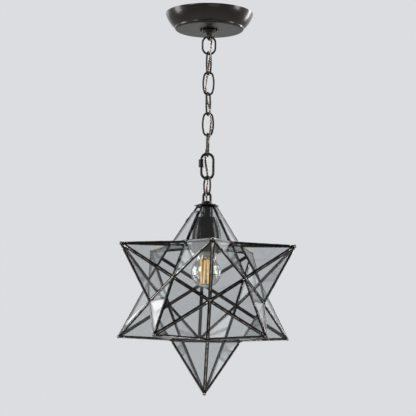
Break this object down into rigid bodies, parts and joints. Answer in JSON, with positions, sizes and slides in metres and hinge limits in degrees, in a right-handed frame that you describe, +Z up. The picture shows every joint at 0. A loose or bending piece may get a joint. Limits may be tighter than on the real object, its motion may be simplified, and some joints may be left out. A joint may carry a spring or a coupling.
{
  "type": "moravian star pendant",
  "caption": "Moravian star pendant: glazed star lantern with a hinged door, hung by a corded chain and a threaded link from a round ceiling canopy.",
  "frame": {"origin": "middle of the crossbar's two slots, on the ceiling plane that the canopy rim and crossbar touch", "axes": "+Z up into the ceiling, the lamp hangs towards -Z; +X along the crossbar; the camera of the picture looks along +Y"},
  "size_m": [0.2604, 0.2734, 0.5744],
  "materials": {
    "bronze_enamel": "satin dark bronze baked enamel on steel",
    "blackened_brass": "satin black patina on brass sheet",
    "blackened_solder": "satin black patina on soldered brass channel",
    "zinc_steel": "zinc-plated steel",
    "phenolic": "moulded black phenolic",
    "brass_shell": "pressed brass",
    "nickel_shell": "nickel-plated bulb cap",
    "black_glass_insulator": "glossy insulator",
    "bulb_glass": "clear blown glass",
    "star_glass": "clear flat glass",
    "pale_plastic": "moulded ivory heat-proof plastic",
    "amber_phosphor": "amber phosphor strip",
    "clear_cord": "clear vinyl over copper and tinned strands"
  },
  "bodies": {
    "ceiling": {"canopy": "bronze_enamel", "mounting_bracket": "zinc_steel", "ground_screw": "zinc_steel", "canopy_nipple": "zinc_steel", "nipple_nuts": "zinc_steel", "screw_collar": "bronze_enamel", "canopy_loop": "bronze_enamel", "supply_cord": "clear_cord"},
    "link_1": {"chain_link_1": "bronze_enamel"},
    "link_2": {"chain_link_2": "bronze_enamel"},
    "link_3": {"chain_link_3": "bronze_enamel"},
    "link_4": {"chain_link_4": "bronze_enamel"},
    "link_5": {"chain_link_5": "bronze_enamel"},
    "link_6": {"chain_link_6": "bronze_enamel"},
    "quick_link": {"quick_link": "bronze_enamel"},
    "quick_nut": {"quick_link_nut": "bronze_enamel"},
    "link_7": {"chain_link_7": "bronze_enamel"},
    "star": {"star_loop": "bronze_enamel", "cap_plate": "blackened_brass", "star_nipple": "zinc_steel", "spacer_tube": "bronze_enamel", "cup_nut": "zinc_steel", "socket_cup": "bronze_enamel", "socket_body": "phenolic", "screw_shell": "brass_shell", "hinge_pin": "blackened_brass", "solder_beads": "blackened_solder", "bottom_point_cames": "blackened_solder", "bottom_point_glass": "star_glass", "lower_point_1_cames": "blackened_solder", "lower_point_1_glass": "star_glass", "lower_point_2_cames": "blackened_solder", "lower_point_2_glass": "star_glass", "lower_point_3_cames": "blackened_solder", "lower_point_3_glass": "star_glass", "lower_point_4_cames": "blackened_solder", "lower_point_4_glass": "star_glass", "lower_point_5_cames": "blackened_solder", "lower_point_5_glass": "star_glass", "top_point_cames": "blackened_solder", "top_point_glass": "star_glass", "upper_point_1_cames": "blackened_solder", "upper_point_1_glass": "star_glass", "upper_point_2_cames": "blackened_solder", "upper_point_2_glass": "star_glass", "upper_point_3_cames": "blackened_solder", "upper_point_3_glass": "star_glass", "upper_point_4_cames": "blackened_solder", "upper_point_4_glass": "star_glass", "upper_point_5_cames": "blackened_solder", "upper_point_5_glass": "star_glass"},
    "door": {"door_frame": "blackened_solder", "door_glass": "star_glass"},
    "bulb": {"bulb_glass": "bulb_glass", "bulb_collar": "pale_plastic", "bulb_cap": "nickel_shell", "bulb_insulator": "black_glass_insulator", "bulb_stem": "bulb_glass", "bulb_supports": "nickel_shell", "bulb_filaments": "amber_phosphor"}
  },
  "joints": [
    {"name": "link_1_swing", "type": "hinge", "parent": "ceiling", "child": "link_1", "pos_m": [0, 0, -0.0393], "axis": [0.4384, 0.8988, 0], "range_deg": [-12, 12], "deforming": ["supply_cord"]},
    {"name": "link_2_swing", "type": "hinge", "parent": "link_1", "child": "link_2", "pos_m": [0, 0, -0.0623], "axis": [1, 0, 0], "range_deg": [-12, 12], "deforming": ["supply_cord"]},
    {"name": "link_3_swing", "type": "hinge", "parent": "link_2", "child": "link_3", "pos_m": [0, 0, -0.0935], "axis": [0.4695, 0.8829, 0], "range_deg": [-12, 12], "deforming": ["supply_cord"]},
    {"name": "link_4_swing", "type": "hinge", "parent": "link_3", "child": "link_4", "pos_m": [0, 0, -0.1247], "axis": [1, 0, 0], "range_deg": [-12, 12], "deforming": ["supply_cord"]},
    {"name": "link_5_swing", "type": "hinge", "parent": "link_4", "child": "link_5", "pos_m": [0, 0, -0.1559], "axis": [0.4384, 0.8988, 0], "range_deg": [-12, 12], "deforming": ["supply_cord"]},
    {"name": "link_6_swing", "type": "hinge", "parent": "link_5", "child": "link_6", "pos_m": [0, 0, -0.1871], "axis": [1, 0, 0], "range_deg": [-12, 12], "deforming": ["supply_cord"]},
    {"name": "quick_link_swing", "type": "hinge", "parent": "link_6", "child": "quick_link", "pos_m": [0, 0, -0.2183], "axis": [0.2079, 0.9781, 0], "range_deg": [-12, 12], "deforming": ["supply_cord"]},
    {"name": "link_7_swing", "type": "hinge", "parent": "quick_link", "child": "link_7", "pos_m": [0, 0, -0.2525], "axis": [0.9903, 0.1392, 0], "range_deg": [-12, 12], "deforming": ["supply_cord"]},
    {"name": "star_swing", "type": "hinge", "parent": "link_7", "child": "star", "pos_m": [0, 0, -0.2772], "axis": [0.5299, -0.848, 0], "range_deg": [-12, 12], "deforming": ["supply_cord"]},
    {"name": "door_hinge", "type": "hinge", "parent": "star", "child": "door", "pos_m": [-0.02947, -0.04056, -0.34267], "axis": [0.3322, 0.4572, 0.825], "range_deg": [0, 95]},
    {"name": "quick_nut_slide", "type": "slide", "parent": "quick_link", "child": "quick_nut", "axis": [0, 0, -1], "range_m": [0, 0.0072]},
    {"name": "bulb_slide", "type": "slide", "parent": "star", "child": "bulb", "axis": [0, 0, -1], "range_m": [0, 0.026]}
  ]
}
